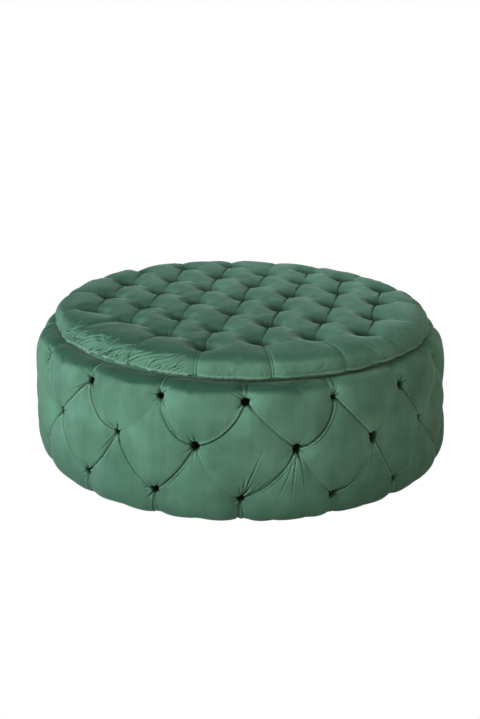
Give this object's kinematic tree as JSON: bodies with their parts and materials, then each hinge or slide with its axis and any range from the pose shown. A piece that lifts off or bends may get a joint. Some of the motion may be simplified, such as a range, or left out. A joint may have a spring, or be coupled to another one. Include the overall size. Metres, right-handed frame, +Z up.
{
  "type": "round storage tuffet",
  "caption": "Round storage tuffet: deep-tufted velvet drum with a lined well inside and a loose, deep-tufted velvet lid that lifts off.",
  "frame": {"origin": "centre of the drum on the floor", "axes": "+Z up along the drum's axis; -Y towards the side that the picture shows"},
  "size_m": [0.9966, 0.9966, 0.3762],
  "materials": {
    "velvet": "green velvet pile",
    "foam": "upholstery foam",
    "plywood": "birch plywood, unfinished",
    "hardboard": "bent hardboard, unfinished",
    "pine": "sawn pine",
    "lining": "black woven lining cloth",
    "dust_cloth": "black non-woven dust cloth",
    "glide": "moulded black plastic",
    "screw": "yellow zinc-plated steel"
  },
  "bodies": {
    "drum": {"base_board": "plywood", "dust_cover": "dust_cloth", "glide_1": "glide", "glide_2": "glide", "glide_3": "glide", "glide_4": "glide", "glide_5": "glide", "glide_6": "glide", "upright_1": "pine", "upright_2": "pine", "upright_3": "pine", "upright_4": "pine", "upright_5": "pine", "upright_6": "pine", "upright_7": "pine", "upright_8": "pine", "top_ring": "plywood", "outer_hoop": "hardboard", "inner_hoop": "hardboard", "side_foam": "foam", "side_cover": "velvet", "lining_floor": "lining", "lining_wall": "lining"},
    "lid": {"lid_board": "plywood", "lid_lining": "lining", "lid_foam": "foam", "lid_cover": "velvet", "locating_block_1": "pine", "locating_block_2": "pine", "locating_block_3": "pine", "locating_block_4": "pine", "block_screw_1": "screw", "block_screw_2": "screw", "block_screw_3": "screw", "block_screw_4": "screw", "block_screw_5": "screw", "block_screw_6": "screw", "block_screw_7": "screw", "block_screw_8": "screw"}
  },
  "joints": [
    {"name": "lid_lift", "type": "slide", "parent": "drum", "child": "lid", "axis": [0, 0, 1], "range_m": [0, 0.35]}
  ]
}
